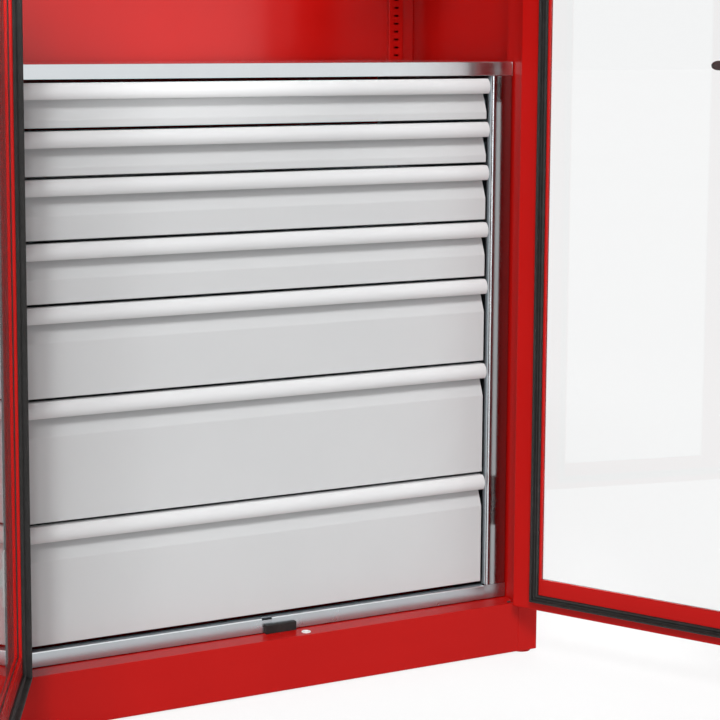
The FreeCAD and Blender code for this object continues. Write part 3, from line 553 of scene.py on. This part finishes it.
# square spindle into the lock case
loft(bm, [[(LOCK_X + a / 1000, FRONT + y / 1000, LOCK_Z + b / 1000) for a, b in ((-4, -4), (4, -4), (4, 4), (-4, 4))]
          for y in (-2.0, 20.0)])
bmesh.ops.transform(bm, matrix=door_turn(1), verts=bm.verts[:])
as_object(bm, "lock_handle_skin", [M["black"]], BODY_OF["lock_handle"], ["lock_handle"], smooth=40.0)

# door seals: a tall rounded lip along the outer edge, a groove and a low ridge, mitred at the corners
lip = [(0.0, 0.0), (0.0, 6.0), (0.1, 12.4), (0.5, 13.5), (1.2, 14.1), (2.0, 14.3), (2.8, 14.1), (3.5, 13.5), (3.9, 12.4),
       (4.0, 9.0), (4.1, 6.6), (4.5, 5.2), (5.2, 4.5), (6.0, 4.4), (6.8, 4.9), (7.6, 5.5), (8.5, 5.8), (9.5, 5.7),
       (10.4, 5.2), (11.2, 4.1), (11.8, 2.4), (12.0, 0.8), (12.0, 0.0)]
for s, side in ((1, "right"), (-1, "left")):
    bm = bmesh.new()
    rings = []
    for station in range(4):
        ring = []
        for u, v in lip:
            u, v = u / 1000, v / 1000
            x = 0.0155 if station in (0, 3) else 0.4435 - u
            z = 0.1145 + u if station < 2 else 1.9385 - u
            ring.append((x * s, -0.199 + v, z))
        rings.append(ring)
    loft(bm, rings)
    bmesh.ops.transform(bm, matrix=door_turn(s), verts=bm.verts[:])
    node = side + "_door_seal"
    as_object(bm, node + "_skin", [M["rubber"]], BODY_OF[node], [node], smooth=50.0)


# screws that hold the hinge leaves: low domes with a six-lobed recess
def screw_head(bm, x, z, face, matrix):
    rows = [(4.3, 0.0, 0), (4.4, 0.25, 0), (4.25, 0.8, 0), (3.6, 1.35, 0), (2.6, 1.6, 0), (2.05, 1.65, 1), (1.95, 0.55, 1)]
    rings = []
    for r, h, lobed in rows:
        ring = []
        for i in range(36):
            a = 2 * math.pi * i / 36
            k = r * (1.0 - 0.13 * math.cos(6 * a)) if lobed else r
            ring.append(matrix @ Vector((x + k * math.cos(a) / 1000, face - h / 1000, z + k * math.sin(a) / 1000)))
        rings.append(ring)
    loft(bm, rings)


hinge_levels = [0.262, 1.0265, 1.791]
leaf_face = -0.2275
for s, side in ((1, "right"), (-1, "left")):
    bm = bmesh.new()
    for hz in hinge_levels:
        for dz in (-0.034, -0.0205, 0.0205, 0.034):
            screw_head(bm, 0.4685 * s, hz + dz, leaf_face, door_turn(s))
    node = side + "_door_hinges"
    as_object(bm, side + "_door_hinge_screws", [M["hardware_edge"]], BODY_OF[node], smooth=32.0)
bm = bmesh.new()
for s in (1, -1):
    for hz in hinge_levels:
        for dz in (-0.0072, 0.0072):
            screw_head(bm, 0.5025 * s, hz + dz, leaf_face, Matrix.Identity(4))
as_object(bm, "hinge_post_screws", [M["hardware_edge"]], BODY_OF["hinge_post_leaves"], smooth=32.0)

# ------------------------------------------------------------------ stage and light
floor_mesh = bpy.data.meshes.new("floor")
floor_mesh.from_pydata([(-60, -60, 0), (60, -60, 0), (60, 60, 0), (-60, 60, 0)], [], [(0, 1, 2, 3)])
floor = bpy.data.objects.new("floor", floor_mesh)
collection.objects.link(floor)
# a white light table: seen bright and even, while it sends little light up into the cabinet
gf = Graph("pale_floor")
gf.set(Metallic=0.0, Specular_IOR_Level=0.0)
gf.feed("Base Color", gf.blend(gf.spread(gf.noise(0.6, 2.0), 0.0, 1.0), (0.140, 0.140, 0.141), (0.134, 0.134, 0.135)))
gf.feed("Roughness", gf.spread(gf.noise(2.0, 2.0), 0.85, 0.95))
gf.p.inputs["Emission Color"].default_value = (1.0, 1.0, 1.0, 1.0)
floor_path = gf.t.nodes.new("ShaderNodeLightPath")
gf.feed("Emission Strength", gf.spread(floor_path.outputs["Is Diffuse Ray"], 0.85, 0.42, 0.0, 1.0))
floor_mesh.materials.append(gf.m)

world = bpy.data.worlds.new("studio")
scene.world = world
world.use_nodes = True
back = world.node_tree.nodes["Background"]
back.inputs["Color"].default_value = (0.995, 0.998, 1.0, 1.0)
# bright white surround, of which the matt surfaces receive a softer share than mirrors and glass show
path = world.node_tree.nodes.new("ShaderNodeLightPath")
level = world.node_tree.nodes.new("ShaderNodeMapRange")
level.inputs["To Min"].default_value = 0.97
level.inputs["To Max"].default_value = 0.30
world.node_tree.links.new(path.outputs["Is Diffuse Ray"], level.inputs["Value"])
world.node_tree.links.new(level.outputs[0], back.inputs["Strength"])


def broad_light(name, azimuth, elevation, strength, softness):
    """A wide, even light from afar; azimuth 0 is the front, positive to the right."""
    data = bpy.data.lights.new(name, "SUN")
    data.energy = strength
    data.angle = math.radians(softness)
    obj = bpy.data.objects.new(name, data)
    collection.objects.link(obj)
    az, el = math.radians(azimuth), math.radians(elevation)
    place = Vector((math.sin(az) * math.cos(el), -math.cos(az) * math.cos(el), math.sin(el))) * 6.0
    obj.location = place
    obj.rotation_euler = (-place).to_track_quat("-Z", "Y").to_euler()
    return obj


broad_light("key", -33.0, 42.0, 2.18, 16.0)
broad_light("front_fill", -32.0, 8.0, 0.85, 30.0)
broad_light("rear_fill", 150.0, 32.0, 1.1, 40.0)

snoot = bpy.data.lights.new("compartment_light", "SPOT")
snoot.energy = 460.0
snoot.spot_size = math.radians(18.0)
snoot.spot_blend = 0.55
snoot.shadow_soft_size = 0.12
lamp = bpy.data.objects.new("compartment_light", snoot)
collection.objects.link(lamp)
lamp.visible_glossy = False
lamp.location = (-0.9, -3.2, 1.30)
lamp.rotation_euler = (Vector((-0.05, 0.21, 1.47)) - lamp.location).to_track_quat("-Z", "Y").to_euler()
